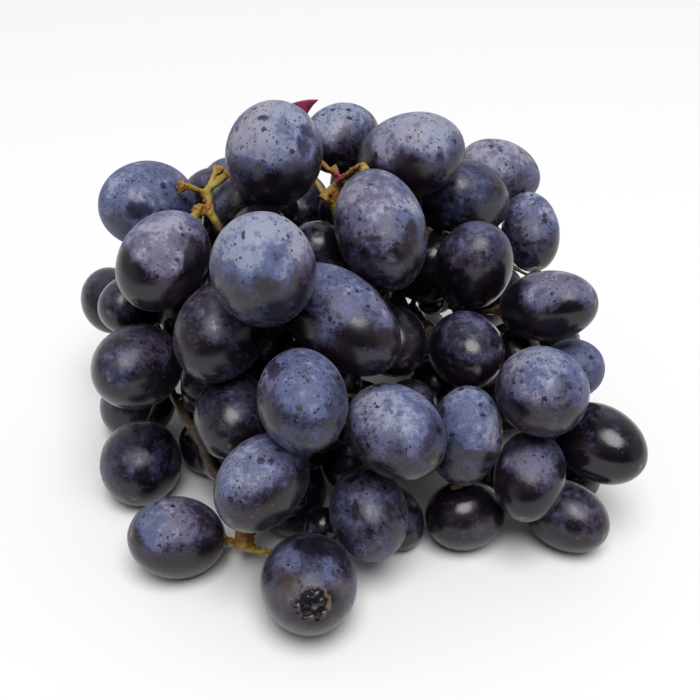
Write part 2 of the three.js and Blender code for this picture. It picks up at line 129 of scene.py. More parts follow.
# %% [markdown]
# ## Table and light
# A pale matt table runs far behind the bunch. What makes dark fruit look round is what it mirrors: one
# broad lamp high above and a little in front gives each berry its soft bright upper half, the dark side of
# the room, behind the eye, its black lower half, and the pale room to the sides and behind a thin light
# rim.
# Besides this light, the undersides of the berries are darkened by painted shade in their bloom.

# %% Table and light
TABLE_REACH = 4
TABLE_WHITE = (0.87, 0.87, 0.88, 1)
ROOM_WHITE = (0.97, 0.98, 1, 1)
ROOM_ABOVE = 0.35
ROOM_BEHIND = 0.6
ROOM_BESIDE = 0.45
ROOM_IN_FRONT = 0.03
LAMP_PLACE = (0.2, -1.02, 2.82)
LAMP_AIM = (0, 0, 0.04)
LAMP_WIDTH = 2.2
LAMP_POWER = 87
LAMP_COLOUR = (1, 0.98, 0.97)


def plain_object(name, data):
    made = bpy.data.objects.new(name, data)
    bpy.context.scene.collection.objects.link(made)
    return made


def plug(tree, value, socket):
    if isinstance(value, bpy.types.NodeSocket):
        tree.links.new(value, socket)
    elif value is not None:
        socket.default_value = value


def calc(tree, operation, *values):
    made = tree.nodes.new("ShaderNodeMath")
    made.operation = operation
    for value, socket in zip(values, made.inputs):
        plug(tree, value, socket)
    return made.outputs[0]


def fade(tree, value, low, high):
    """0 below low, 1 above high and smooth between them. The other way round if low is above high."""
    made = tree.nodes.new("ShaderNodeMapRange")
    made.interpolation_type = "SMOOTHSTEP"
    plug(tree, value, made.inputs["Value"])
    falls = low > high
    made.inputs["From Min"].default_value = high if falls else low
    made.inputs["From Max"].default_value = low if falls else high
    made.inputs["To Min"].default_value = 1 if falls else 0
    made.inputs["To Max"].default_value = 0 if falls else 1
    return made.outputs[0]


def new_material(name):
    made = bpy.data.materials.new(name)
    made.use_nodes = True
    return made, made.node_tree, made.node_tree.nodes["Principled BSDF"]


table_mesh = bpy.data.meshes.new("table")
table_corners = [(x * TABLE_REACH, y * TABLE_REACH, 0) for x, y in ((-1, -1), (1, -1), (1, 1), (-1, 1))]
table_mesh.from_pydata(table_corners, [], [(0, 1, 2, 3)])
table = plain_object("table", table_mesh)
table_material, table_tree, table_shader = new_material("table white")
table_shader.inputs["Base Color"].default_value = TABLE_WHITE
table_shader.inputs["Roughness"].default_value = 0.9
table.data.materials.append(table_material)

sky = bpy.data.worlds.new("pale room")
sky.use_nodes = True
room = sky.node_tree
towards = room.nodes.new("ShaderNodeSeparateXYZ")
plug(room, room.nodes.new("ShaderNodeTexCoord").outputs["Generated"], towards.inputs[0])
beside, behind, above = towards.outputs
over = calc(room, "MULTIPLY", fade(room, above, 0.3, 0.9), ROOM_ABOVE)
back = calc(room, "MULTIPLY", fade(room, behind, -0.1, 0.6), ROOM_BEHIND)
sides = calc(room, "MULTIPLY", fade(room, calc(room, "ABSOLUTE", beside), 0.45, 0.9), ROOM_BESIDE)
brightness = calc(room, "MAXIMUM", over, calc(room, "MAXIMUM", back, sides))
brightness = calc(room, "ADD", brightness, ROOM_IN_FRONT)
room.nodes["Background"].inputs["Color"].default_value = ROOM_WHITE
plug(room, brightness, room.nodes["Background"].inputs["Strength"])
bpy.context.scene.world = sky
bpy.context.scene.view_settings.view_transform = "Standard"

lamp_light = bpy.data.lights.new("broad lamp", "AREA")
lamp_light.shape = "DISK"
lamp_light.size = LAMP_WIDTH
lamp_light.energy = LAMP_POWER
lamp_light.color = LAMP_COLOUR
lamp = plain_object("broad lamp", lamp_light)
lamp.location = LAMP_PLACE
lamp.rotation_euler = (Vector(LAMP_AIM) - Vector(LAMP_PLACE)).to_track_quat("-Z", "Y").to_euler()

# %% [markdown]
# ## Reading a berry from its solid
# A solid berry is a turned oval with a pole at each end, where ten triangles or more come together. The
# poles give its middle, its axis and its length, and the widest ring gives its width. The pole that is
# nearer to the stem is the one that hangs on it.

# %% Read the berries
POLE_FACES = 10
TOUCHES_TABLE = 0.01 * MM
BERRY_NODES = sorted(name for name in frame["nodes"] if name.startswith("berry_"))
stem_places = KDTree(len(frame["nodes"]["stem"].data.vertices))
for i, corner in enumerate(frame["nodes"]["stem"].data.vertices):
    stem_places.insert(corner.co, i)
stem_places.balance()


def read_berry(name):
    mesh = frame["nodes"][name].data
    meeting = {}
    for face in mesh.polygons:
        for i in face.vertices:
            spot = tuple(round(c / MM, 2) for c in mesh.vertices[i].co)
            meeting[spot] = meeting.get(spot, 0) + 1
    poles = [Vector(spot) * MM for spot, count in meeting.items() if count >= POLE_FACES]
    ends = max(((a, b) for a in poles for b in poles), key=lambda pair: (pair[0] - pair[1]).length)
    stalk_end, tip = sorted(ends, key=lambda end: stem_places.find(end)[2])
    axis = (tip - stalk_end).normalized()
    middle = (tip + stalk_end) / 2
    half_width = max(((v.co - middle) - axis * (v.co - middle).dot(axis)).length for v in mesh.vertices)
    return {
        "name": name.removeprefix("berry_"),
        "node": name,
        "middle": middle,
        "axis": axis,
        "half_length": (tip - stalk_end).length / 2,
        "half_width": half_width,
        "on_table": min(v.co.z for v in mesh.vertices) < TOUCHES_TABLE,
    }


berries = [read_berry(name) for name in BERRY_NODES]
widths = [2 * berry["half_width"] / MM for berry in berries]
print("berries:", len(berries), "widths in mm:", round(min(widths), 1), "to", round(max(widths), 1))
print("on the table:", sum(berry["on_table"] for berry in berries))

# %% [markdown]
# ## Berries inside the bunch
# The solids hold the berries that are seen and those that close the back. A real bunch has more of them
# inside, and that is why its gaps look black. Here they are found by a rule: wherever a ball about 11 mm
# wide fits between the skins, the stem and the table, surrounded by berries on most sides and hidden from
# the front, the bunch gets one more berry, the roomiest place first. Each one hangs on the stem by a
# straight stalk, and a place that no straight stalk reaches stays empty. Then a smaller berry is set behind
# each gap that looks black, on the line of sight through it, if there is room for one. Each gap is named by
# how far across and down the picture it is seen. Sixteen of these places were found by comparing the dark
# parts of a first render with those of the real bunch, and the others were set one by one.

# %% Find the inner berries
GRID = 2.5 * MM
LEAST_ROOM = 5.4 * MM
MOST_ROOM = 9.5 * MM
SURROUNDED = 0.78
HIDDEN = 0.65
STALK = 0.9 * MM
INNER_LENGTH = 1.12
CLOSE = 4 * MM
FEET_TRIED = 40
DIRECTIONS = 48
BATCHES = 40
STALK_STEPS = 8
# behind each of these gaps goes a small berry that is bare and nearly black: painted shade where the inside
# of the bunch shows
BLACK_GAPS = (
    (409, 320), (324, 178), (439, 306), (527, 539), (576, 479), (551, 341), (506, 283), (318, 241),
    (437, 385), (322, 526), (198, 476), (488, 480), (430, 542), (315, 357), (464, 507), (232, 415),
    (503, 322), (175, 264), (320, 187), (331, 189), (328, 172), (431, 301), (446, 312), (436, 294),
    (519, 546), (537, 534), (223, 560),
)
NEAREST_SIGHT = 220
FARTHEST_SIGHT = 400
GAP_SIZES = (8 * MM, 6.5 * MM, 5 * MM, 4 * MM, 3 * MM)
HALF_HIDDEN = 0.4

middles = np.array([berry["middle"] for berry in berries])
axes = np.array([berry["axis"] for berry in berries])
longs = np.array([berry["half_length"] for berry in berries])
wides = np.array([berry["half_width"] for berry in berries])
stem_mesh = frame["nodes"]["stem"].data
stem_faces = [tuple(face.vertices) for face in stem_mesh.polygons]
stem_skin = BVHTree.FromPolygons([corner.co for corner in stem_mesh.vertices], stem_faces)


def room_to_berries(places):
    """How far places are from the nearest skin of a berry. It is below 0 inside one."""
    off = places[:, None] - middles
    along = (off * axes).sum(axis=2)
    across = np.sqrt(np.maximum((off ** 2).sum(axis=2) - along ** 2, 0))
    share = np.hypot(along / longs, across / wides)
    slope = np.hypot(along / longs ** 2, across / wides ** 2)
    return (share * (share - 1) / slope).min(axis=1)


def even_directions(count):
    steps = np.arange(count) + 0.5
    rise = 1 - 2 * steps / count
    turn = steps * math.pi * (3 - math.sqrt(5))
    flat = np.sqrt(1 - rise ** 2)
    return np.stack([flat * np.cos(turn), flat * np.sin(turn), rise], axis=1)


LOOKS = even_directions(DIRECTIONS)


def surrounded(place):
    """The share of all directions in which a berry is met, or nearly so."""
    off = middles - place
    ahead = off @ LOOKS.T
    beside = np.sqrt(np.maximum((off ** 2).sum(axis=1)[:, None] - ahead ** 2, 0))
    return ((ahead > 0) & (beside < wides[:, None] + CLOSE)).any(axis=0).mean()


def hidden(place, radius):
    """The share of a ball that the berries hide from the eye."""
    spots = place + LOOKS * radius
    lines = spots - np.array(EYE)
    lengths = np.linalg.norm(lines, axis=1)
    lines /= lengths[:, None]
    off = middles - np.array(EYE)
    ahead = lines @ off.T
    beside = np.sqrt(np.maximum((off ** 2).sum(axis=1)[None] - ahead ** 2, 0))
    return ((beside < wides[None]) & (ahead < lengths[:, None])).any(axis=1).mean()


def straight_stalk(place, radius):
    """The nearest place on the stem from which a straight stalk reaches a ball, or None."""
    for _, i, _ in stem_places.find_n(place, FEET_TRIED):
        foot = stem_mesh.vertices[i].co
        way = (place - foot).normalized()
        free = (place - foot).length - radius
        shares = [step / STALK_STEPS for step in range(1, STALK_STEPS - 1)]
        steps = np.array([foot + way * (STALK + free * share) for share in shares])
        if room_to_berries(steps).min() > STALK:
            return foot, way
    return None


def inner_berry(found, place, stalk, half_length, half_width):
    foot, way = stalk
    return {
        "name": f"inner_{len(found) + 1:02d}",
        "node": None,
        "middle": Vector(place),
        "axis": way,
        "foot": foot.copy(),
        "half_length": half_length,
        "half_width": half_width,
        "on_table": False,
    }


def apart(place, other):
    return np.linalg.norm(place - np.array(other["middle"]))


def roomy_places():
    """All places on a grid in the box that have enough room, the roomiest first."""
    low, high = np.array(solid_box[0]), np.array(solid_box[1])
    steps = [np.arange(a + LEAST_ROOM, b - LEAST_ROOM, GRID) for a, b in zip(low, high)]
    places = np.stack(np.meshgrid(*steps, indexing="ij"), axis=-1).reshape(-1, 3)
    rooms = np.concatenate([room_to_berries(part) for part in np.array_split(places, BATCHES)])
    rooms = np.minimum(rooms, places[:, 2])
    roomy = []
    for room, place in zip(rooms[rooms > LEAST_ROOM], places[rooms > LEAST_ROOM]):
        room = min(room, MOST_ROOM, stem_skin.find_nearest(Vector(place))[3])
        if room > LEAST_ROOM:
            roomy.append((room, place))
    return sorted(roomy, key=lambda entry: -entry[0])


def find_inner_berries():
    found = []
    for room, place in roomy_places():
        if any(apart(place, other) < other["half_width"] + LEAST_ROOM for other in found):
            continue
        for other in found:
            room = min(room, apart(place, other) - other["half_width"])
        if surrounded(place) < SURROUNDED or hidden(place, room) < HIDDEN:
            continue
        stalk = straight_stalk(Vector(place), room)
        if stalk:
            found.append(inner_berry(found, place, stalk, room * INNER_LENGTH, room))
    return found


def room_at(place, found):
    rooms = [room_to_berries(place[None])[0], place[2], stem_skin.find_nearest(Vector(place))[3]]
    return min(rooms + [apart(place, other) - other["half_length"] for other in found])


def fill_gap(across, down, found):
    """Sets the largest berry that fits behind a gap, as near to the eye as can be, and returns its radius."""
    sight = np.array(line_of_sight(across, down))
    places = np.array(EYE) + sight * np.arange(NEAREST_SIGHT, FARTHEST_SIGHT)[:, None] * MM
    for size in GAP_SIZES:
        low, high = np.array(solid_box[0]) + size, np.array(solid_box[1]) - size
        for place in places[((places > low) & (places < high)).all(axis=1)]:
            if room_at(place, found) < size or hidden(place, size) < HALF_HIDDEN:
                continue
            stalk = straight_stalk(Vector(place), size)
            if stalk:
                found.append(inner_berry(found, place, stalk, size, size))
                return size
    return 0


inner_berries = find_inner_berries()
print("gaps filled in mm:", [fill_gap(*gap, inner_berries) / MM for gap in BLACK_GAPS])
print("inner berries:", len(inner_berries))
print("their widths in mm:", [round(2 * berry["half_width"] / MM, 1) for berry in inner_berries])

# %% [markdown]
# ## The form of a grape
# A grape is an oval that follows a rule, with a shallow dimple round its stalk, a tiny sunken scar at its
# tip and a skin that is never quite even. Geometry nodes suit that: one tree turns a ball into such a grape
# from a few named sizes, and every berry runs the same tree with its own sizes and its own seed.

# %% Geometry nodes for one grape
GRAPE_SIZES = {
    "Half Length": 12 * MM,
    "Half Width": 10 * MM,
    "Stalk Dimple": 0.7 * MM,
    "Tip Dimple": 0.25 * MM,
    "Unevenness": 0.35 * MM,
    "Seed": 0.0,
}
GRAPE_COUNTS = {"Sides": 60, "Rings": 38}


def bell(tree, distance, width):
    """1 at distance 0, falling smoothly to 0 at about twice the width."""
    share = calc(tree, "DIVIDE", distance, width)
    return calc(tree, "EXPONENT", calc(tree, "MULTIPLY", calc(tree, "POWER", share, 2.0), -1.0))


def grape_tree():
    tree = bpy.data.node_groups.new("grape form", "GeometryNodeTree")
    for name, size in GRAPE_SIZES.items():
        tree.interface.new_socket(name, in_out="INPUT", socket_type="NodeSocketFloat").default_value = size
    for name, count in GRAPE_COUNTS.items():
        tree.interface.new_socket(name, in_out="INPUT", socket_type="NodeSocketInt").default_value = count
    tree.interface.new_socket("Skin", in_out="INPUT", socket_type="NodeSocketMaterial")
    tree.interface.new_socket("Grape", in_out="OUTPUT", socket_type="NodeSocketGeometry")
    given = tree.nodes.new("NodeGroupInput").outputs
    ball = tree.nodes.new("GeometryNodeMeshUVSphere")
    plug(tree, given["Sides"], ball.inputs["Segments"])
    plug(tree, given["Rings"], ball.inputs["Rings"])
    ball.inputs["Radius"].default_value = 1
    spot = tree.nodes.new("GeometryNodeInputPosition").outputs[0]
    parts = tree.nodes.new("ShaderNodeSeparateXYZ")
    plug(tree, spot, parts.inputs[0])
    x, y, z = parts.outputs

    off_axis = calc(tree, "SQRT", calc(tree, "ADD", calc(tree, "POWER", x, 2.0), calc(tree, "POWER", y, 2.0)))
    near_end = bell(tree, off_axis, 0.2)
    at_stalk = calc(tree, "MULTIPLY", near_end, calc(tree, "LESS_THAN", z, 0.0))
    near_tip = bell(tree, off_axis, 0.09)
    at_tip = calc(tree, "MULTIPLY", near_tip, calc(tree, "GREATER_THAN", z, 0.0))

    lumps = tree.nodes.new("ShaderNodeTexNoise")
    lumps.noise_dimensions = "4D"
    plug(tree, spot, lumps.inputs["Vector"])
    plug(tree, given["Seed"], lumps.inputs["W"])
    lumps.inputs["Scale"].default_value = 1.1
    lumps.inputs["Detail"].default_value = 2
    swell = calc(tree, "MULTIPLY", calc(tree, "SUBTRACT", lumps.outputs[0], 0.5), given["Unevenness"])

    width = calc(tree, "ADD", given["Half Width"], swell)
    length = calc(tree, "ADD", given["Half Length"], swell)
    along = calc(tree, "MULTIPLY", z, length)
    along = calc(tree, "ADD", along, calc(tree, "MULTIPLY", at_stalk, given["Stalk Dimple"]))
    along = calc(tree, "SUBTRACT", along, calc(tree, "MULTIPLY", at_tip, given["Tip Dimple"]))
    place = tree.nodes.new("ShaderNodeCombineXYZ")
    plug(tree, calc(tree, "MULTIPLY", x, width), place.inputs[0])
    plug(tree, calc(tree, "MULTIPLY", y, width), place.inputs[1])
    plug(tree, along, place.inputs[2])

    moved = tree.nodes.new("GeometryNodeSetPosition")
    plug(tree, ball.outputs["Mesh"], moved.inputs["Geometry"])
    plug(tree, place.outputs[0], moved.inputs["Position"])
    smooth = tree.nodes.new("GeometryNodeSetShadeSmooth")
    plug(tree, moved.outputs[0], smooth.inputs["Geometry"])
    real = tree.nodes.new("GeometryNodeRealizeInstances")
    plug(tree, smooth.outputs[0], real.inputs[0])
    dressed = tree.nodes.new("GeometryNodeSetMaterial")
    plug(tree, real.outputs[0], dressed.inputs["Geometry"])
    plug(tree, given["Skin"], dressed.inputs["Material"])
    plug(tree, dressed.outputs[0], tree.nodes.new("NodeGroupOutput").inputs[0])
    return tree


GRAPE_FORM = grape_tree()
SOCKETS = {item.name: item.identifier for item in GRAPE_FORM.interface.items_tree if item.in_out == "INPUT"}
print("grape tree inputs:", list(SOCKETS))

# %% [markdown]
# ## Skin under bloom
# The skin of a black grape is nearly black and a little shiny. Over it lies the bloom, a dusty pale blue
# wax. It is thick where nothing has touched the berry, and thin or rubbed off in patches, flecks and fine
# specks, where the dark skin shows. The material mixes the two by layers of noise, and attributes of each
# berry say how much bloom is left at each place and where the skin is bare. These also carry painted shade:
# less bloom on the underside of each berry and on the inner berries, and dark marks, some of which are
# painted shade and painted reflection. Each colour is a pair, and patches of a berry lean to one or the
# other.

# %% Skin material
BLACK_SKIN = ((0.005, 0.004, 0.008, 1), (0.018, 0.008, 0.013, 1))
THIN_BLOOM = ((0.026, 0.03, 0.07, 1), (0.036, 0.027, 0.048, 1))
MIDDLING_BLOOM = ((0.08, 0.1, 0.22, 1), (0.115, 0.105, 0.18, 1))
THICK_BLOOM = ((0.25, 0.28, 0.39, 1), (0.31, 0.3, 0.37, 1))
RUBBED_BROWN = (0.12, 0.1, 0.1, 1)
CORK = (0.16, 0.11, 0.07, 1)
DUST = (0.6, 0.6, 0.62, 1)
SHEEN_TINT = (0.75, 0.8, 1, 1)


def attribute(tree, name):
    made = tree.nodes.new("ShaderNodeAttribute")
    made.attribute_name = name
    return made.outputs["Fac"]


def cloud(tree, where, size, detail=4.0, roughness=0.55):
    """Noise from 0 to 1 whose patches are about as wide as the size, in mm."""
    made = tree.nodes.new("ShaderNodeTexNoise")
    plug(tree, where, made.inputs["Vector"])
    made.inputs["Scale"].default_value = 0.5 / (size * MM)
    made.inputs["Detail"].default_value = detail
    made.inputs["Roughness"].default_value = roughness
    return made.outputs[0]


def blend(tree, share, one, other):
    made = tree.nodes.new("ShaderNodeMix")
    made.data_type = "RGBA"
    plug(tree, share, made.inputs[0])
    plug(tree, one, made.inputs[6])
    plug(tree, other, made.inputs[7])
    return made.outputs[2]


def bump(tree, height, depth, below=None):
    made = tree.nodes.new("ShaderNodeBump")
    made.inputs["Strength"].default_value = 1
    made.inputs["Distance"].default_value = depth
    plug(tree, height, made.inputs["Height"])
    plug(tree, below, made.inputs["Normal"])
    return made.outputs[0]


def spots(tree, where, spacing, largest, edge=0.05):
    """Round spots of all sizes up to the largest, in mm, scattered about one to each spacing."""
    made = tree.nodes.new("ShaderNodeTexVoronoi")
    plug(tree, where, made.inputs["Vector"])
    made.inputs["Scale"].default_value = 1 / (spacing * MM)
    chance = tree.nodes.new("ShaderNodeSeparateColor")
    plug(tree, made.outputs["Color"], chance.inputs[0])
    radius = calc(tree, "MULTIPLY", calc(tree, "POWER", chance.outputs[0], 2.2), 0.5 * largest / spacing)
    return fade(tree, calc(tree, "SUBTRACT", made.outputs["Distance"], radius), edge, -edge)


def stirred(tree, where, size, amount):
    """The same place moved about a little, so that what is drawn there loses its regular edges."""
    made = tree.nodes.new("ShaderNodeTexNoise")
    plug(tree, where, made.inputs["Vector"])
    made.inputs["Scale"].default_value = 0.5 / (size * MM)
    made.inputs["Detail"].default_value = 3
    shift = tree.nodes.new("ShaderNodeVectorMath")
    shift.operation = "SUBTRACT"
    plug(tree, made.outputs["Color"], shift.inputs[0])
    shift.inputs[1].default_value = (0.5, 0.5, 0.5)
    moved = tree.nodes.new("ShaderNodeVectorMath")
    moved.operation = "MULTIPLY_ADD"
    plug(tree, shift.outputs[0], moved.inputs[0])
    moved.inputs[1].default_value = (amount * MM,) * 3
    plug(tree, where, moved.inputs[2])
    return moved.outputs[0]


def around(tree, clouds, weight):
    """Noise moved to lie around 0, and weighed."""
    return calc(tree, "MULTIPLY", calc(tree, "SUBTRACT", clouds, 0.5), weight)


def grape_skin(name, sheen):
    material, tree, shader = new_material(name)
    where = tree.nodes.new("ShaderNodeTexCoord").outputs["Object"]
    # the bloom attribute also carries painted shade: less bloom on the undersides and on the inner berries
    bloom_left_and_shade = attribute(tree, "bloom_and_shade")

    # how much bloom: cloudy, with a fine grain
    clouds = cloud(tree, where, 7, detail=5, roughness=0.6)
    mottle = cloud(tree, where, 2.4, detail=5, roughness=0.65)
    grain = cloud(tree, where, 0.8, detail=6, roughness=0.75)
    amount = calc(tree, "ADD", bloom_left_and_shade, around(tree, clouds, 1.1))
    amount = calc(tree, "ADD", amount, around(tree, mottle, 1.3))
    amount = calc(tree, "ADD", amount, around(tree, grain, 1.2))

    # where it is off: spots in groups, fine specks, and a few blotches, all with ragged edges
    ragged = stirred(tree, stirred(tree, where, 2.5, 2.8), 0.5, 1.0)
    groups = fade(tree, cloud(tree, where, 8, detail=2), 0.36, 0.52)
    large_spots = calc(tree, "MULTIPLY", spots(tree, ragged, 2.3, 1.8), groups)
    specks = calc(tree, "MULTIPLY", spots(tree, ragged, 0.8, 0.7, 0.08), groups)
    blotches = fade(tree, cloud(tree, ragged, 6, detail=4, roughness=0.6), 0.6, 0.7)
    blotches = calc(tree, "MULTIPLY", blotches, 0.6)
    # the marks bring bare patches and painted shade
    mark = calc(tree, "ADD", attribute(tree, "bare_and_shade"), around(tree, cloud(tree, ragged, 1.6, detail=5), 1.0))
    bare_and_shade = calc(tree, "MAXIMUM", calc(tree, "MAXIMUM", large_spots, specks), blotches)
    bare_and_shade = calc(tree, "MAXIMUM", bare_and_shade, fade(tree, mark, 0.35, 0.65))
    covered = calc(tree, "MULTIPLY", amount, calc(tree, "SUBTRACT", 1.0, calc(tree, "MULTIPLY", bare_and_shade, 0.75)))

    tint = fade(tree, cloud(tree, where, 12, detail=3), 0.35, 0.65)
    colour = blend(tree, fade(tree, clouds, 0.4, 0.7), *BLACK_SKIN)
    colour = blend(tree, fade(tree, covered, 0.0, 0.28), colour, blend(tree, tint, *THIN_BLOOM))
    colour = blend(tree, fade(tree, covered, 0.28, 0.65), colour, blend(tree, tint, *MIDDLING_BLOOM))
    colour = blend(tree, fade(tree, covered, 0.65, 1.05), colour, blend(tree, tint, *THICK_BLOOM))

    # rubbed brownish places, and the cork of scars
    rubbed = fade(tree, cloud(tree, where, 7, detail=6, roughness=0.7), 0.58, 0.72)
    rubbed = calc(tree, "MULTIPLY", calc(tree, "MULTIPLY", rubbed, 0.45), fade(tree, covered, 0.2, 0.7))
    colour = blend(tree, rubbed, colour, RUBBED_BROWN)
    colour = blend(tree, attribute(tree, "cork"), colour, CORK)

    # white dust
    dust = fade(tree, cloud(tree, where, 0.22, detail=1), 0.77, 0.8)
    colour = blend(tree, calc(tree, "MULTIPLY", dust, 0.5), colour, DUST)
    plug(tree, colour, shader.inputs["Base Color"])

    dull = fade(tree, covered, 0.05, 0.6)
    roughness = calc(tree, "ADD", 0.22, calc(tree, "MULTIPLY", dull, 0.4))
    roughness = calc(tree, "SUBTRACT", roughness, calc(tree, "MULTIPLY", attribute(tree, "polish"), 0.1))
    plug(tree, roughness, shader.inputs["Roughness"])
    fine = bump(tree, grain, 0.05 * MM)
    plug(tree, bump(tree, clouds, 0.12 * MM, fine), shader.inputs["Normal"])
    shader.inputs["Sheen Weight"].default_value = sheen
    shader.inputs["Sheen Roughness"].default_value = 0.35
    shader.inputs["Sheen Tint"].default_value = SHEEN_TINT
    return material


SKINS = {
    "skin_pale": grape_skin("pale bloomed skin", 0.06),
    "skin_blue": grape_skin("blue bloomed skin", 0.05),
    "skin_dark": grape_skin("dark polished skin", 0.03),
}
SLOT_OF = {part["node"]: part["material_slot"] for part in frame["record"]["subparts"]}
print("skins:", [material.name for material in SKINS.values()])

# %% [markdown]
# ## How much bloom each berry has
# The bloom is read berry by berry from what is seen, once for the upper side and once for the lower: 0 is
# bare and nearly black, 1 is thickly dusted. The lower value darkens the underside of each berry, which is
# painted shade. Berries that nobody sees from the front take one middling pair, and the inner ones are
# bare and nearly black, as painted shade inside the bunch. Marks are the dark places that stand out on
# single berries: some are bare patches of skin, and some are painted shade and painted reflection, such as
# the dark lower middles of a and b and the shaded upper side of ff. Each gives how far across and down the
# picture it is seen, its half width and half height there, and its strength. One berry has a ring scar.

# %% Bloom of each berry
# bloom of the upper side of each berry, and of its lower side, where less bloom is painted shade
BLOOM_AND_SHADE = dict(
    a=(1.05, 0.1), b=(1, 0.1), c=(0.85, 0.1), d=(0.9, 0), e=(0.85, 0), f=(0.4, 0.1), g=(0.9, 0.65),
    h=(0.75, 0.15), i=(0.35, -0.2), j=(0.85, -0.2), k=(0.3, -0.2), l=(0.8, -0.1), m=(0.6, 0.6), n=(0.1, -0.2),
    o=(0.5, -0.3), p=(0.3, 0), q=(0.7, 0.2), r=(-0.1, 0), s=(0.8, 0), t=(0.65, 0.15), u=(0.65, -0.1),
    v=(0.4, -0.1), w=(0.15, 0), x=(0.65, -0.1), y=(0.85, -0.1), z=(0.7, 0.6), cc=(0.25, -0.1),
    dd=(0.4, -0.1), ee=(0.55, -0.1), ff=(0.4, 0), gg=(0.3, 0.35), kk=(0.9, 0.5), nn=(0.15, -0.1), jj=(0.2, 0),
    ii=(0.2, 0), ll=(0.2, 0), mm=(0.2, 0), uu=(0.1, 0), vv=(0.2, 0), hh=(0.3, 0), aa=(0.4, 0), bb1=(0.4, 0),
    bb2=(0.4, 0), ss=(0.1, -0.1), oo=(0.1, -0.1), pp=(0.1, -0.1), qq=(0, -0.1), rr=(0, -0.1),
)
UNSEEN_BLOOM_AND_SHADE = (0.5, 0)
# the inner berries are bare and nearly black: painted shade inside the bunch
INNER_BLOOM_AS_SHADE = (0, -0.1)
POLISH = dict(n=1, k=1, i=0.6, j=0.6, e=0.5, f=0.3, r=0.3, o=0.3, nn=0.6)
RING = dict(berry="ff", across=313, down=603, radius=17)
CORKY = ((292, 590, 12, 14, 0.35), (340, 588, 8, 8, 0.25))
# marks of bare skin, and painted shade and painted reflection, such as the dark lower middles of a and b and
# the shaded top of ff
BARE_AND_SHADE_MARKS = dict(
    a=((285, 190, 32, 16, 1), (304, 138, 10, 24, 0.6), (262, 118, 9, 4, 0.6), (258, 166, 6, 6, 0.7)),
    b=((268, 287, 17, 8, 0.9), (292, 294, 10, 7, 0.7), (243, 236, 1.6, 10, 0.8), (297, 262, 8, 9, 0.5)),
    c=((372, 239, 14, 5, 0.6), (347, 250, 9, 14, 0.6), (412, 232, 8, 20, 0.6), (394, 264, 8, 3, 0.9),
       (396, 252, 9, 3, 0.8)),
    d=((384, 176, 20, 6, 0.8), (415, 187, 26, 10, 0.9), (440, 160, 6, 16, 0.6)),
    u=((358, 339, 22, 9, 0.9), (386, 336, 9, 9, 0.8), (305, 300, 6, 3, 0.9), (397, 328, 5, 20, 0.7)),
    y=((195, 262, 12, 28, 0.9), (150, 288, 9, 7, 0.7)),
    z=((138, 210, 15, 10, 0.8), (175, 187, 14, 8, 0.6)),
    t=((272, 370, 8, 12, 0.7), (300, 408, 4, 4, 0.8)),
    q=((437, 405, 8, 20, 0.8), (475, 456, 24, 7, 0.8), (480, 405, 3, 3, 0.8), (483, 415, 3, 3, 0.8)),
    gg=((355, 510, 4, 12, 0.9), (343, 526, 3, 3, 0.9)),
    ff=((325, 545, 32, 11, 1), (340, 595, 9, 12, 0.6)),
    ee=((150, 562, 20, 6, 0.6), (205, 545, 12, 12, 0.6)),
    x=((250, 500, 14, 8, 0.6),),
    h=((532, 244, 27, 1.5, 0.9),),
)
print("bloom read for", len(BLOOM_AND_SHADE), "berries")

# %% [markdown]
# ## Berries that press on each other
# In a full bunch the berries grow against each other. Where two skins meet, both give way along a flat
# between them. Each fine berry is swollen by a fraction of a millimetre, so that it reaches its neighbours,
# and is then pressed back softly at the plane halfway between the two. The table presses the lowest berries
# in the same way.

# %% Contacts between berries
SWOLLEN = 0.05 * MM
NEAR = 1.6 * MM
SOFT = 0.5 * MM
CONTACT_ROUNDS = 12


def reach(berry, way):
    a, b = berry["half_length"], berry["half_width"]
    return math.sqrt(b * b + (a * a - b * b) * berry["axis"].dot(way) ** 2)


def furthest(berry, way):
    a, b = berry["half_length"], berry["half_width"]
    return (way * (b * b) + berry["axis"] * ((a * a - b * b) * berry["axis"].dot(way))) / reach(berry, way)


def contact(one, other):
    """The room between two berries, the way across it and a point halfway across."""
    apart = other["middle"] - one["middle"]
    way = apart.normalized()
    for _ in range(CONTACT_ROUNDS):
        slope = apart - furthest(one, way) - furthest(other, way)
        slope -= way * slope.dot(way)
        way = (way + slope / apart.length).normalized()
    room = apart.dot(way) - reach(one, way) - reach(other, way)
    return room, way, one["middle"] + furthest(one, way) + way * (room / 2)


all_berries = berries + inner_berries
for berry in all_berries:
    berry["pressed_at"] = []
pressed = 0
for i, one in enumerate(all_berries):
    for other in all_berries[i + 1:]:
        if (one["middle"] - other["middle"]).length > one["half_length"] + other["half_length"] + NEAR:
            continue
        room, way, between = contact(one, other)
        if room < NEAR:
            one["pressed_at"].append((between, way))
            other["pressed_at"].append((between, -way))
            pressed += 1
print("places where two berries touch:", pressed)

# %% [markdown]
# ## The berries
# Each berry runs the geometry nodes with its own sizes, and the result becomes a plain mesh. The mesh is
# then turned onto its axis, pressed at its contacts and painted with its attributes: bloom, with painted
# shade on the underside, bare places, some of them painted shade, cork and polish.

# %% Make the berries
SEED_STEP = 3.7
RING_SIDES = 200
RING_RINGS = 130
INNER_SIDES = 36
INNER_RINGS = 22
RIM_WIDTH = 1.5
RIM_HEIGHT = 0.45 * MM
SUNK = 0.8 * MM
SUNK_UNEVEN = 0.2 * MM
DRIFT_SCALE = 0.13
# how wide and how strongly the skin darkens around each contact
CONTACT_DARK_WIDTH = 3.2 * MM
DARKER_AT_CONTACT = 0.45
TIP_SCAR = 0.55 * MM
STALK_SCAR = 2 * MM


def soft_press(places, point, way):
    """Flattens what stands out past a plane, with a soft edge."""
    past = (places - np.array(point)) @ np.array(way) + SOFT
    out = past > 0
    eased = SOFT * (1 - np.exp(-past[out] / SOFT))
    places[out] -= np.outer(past[out] - eased, np.array(way))


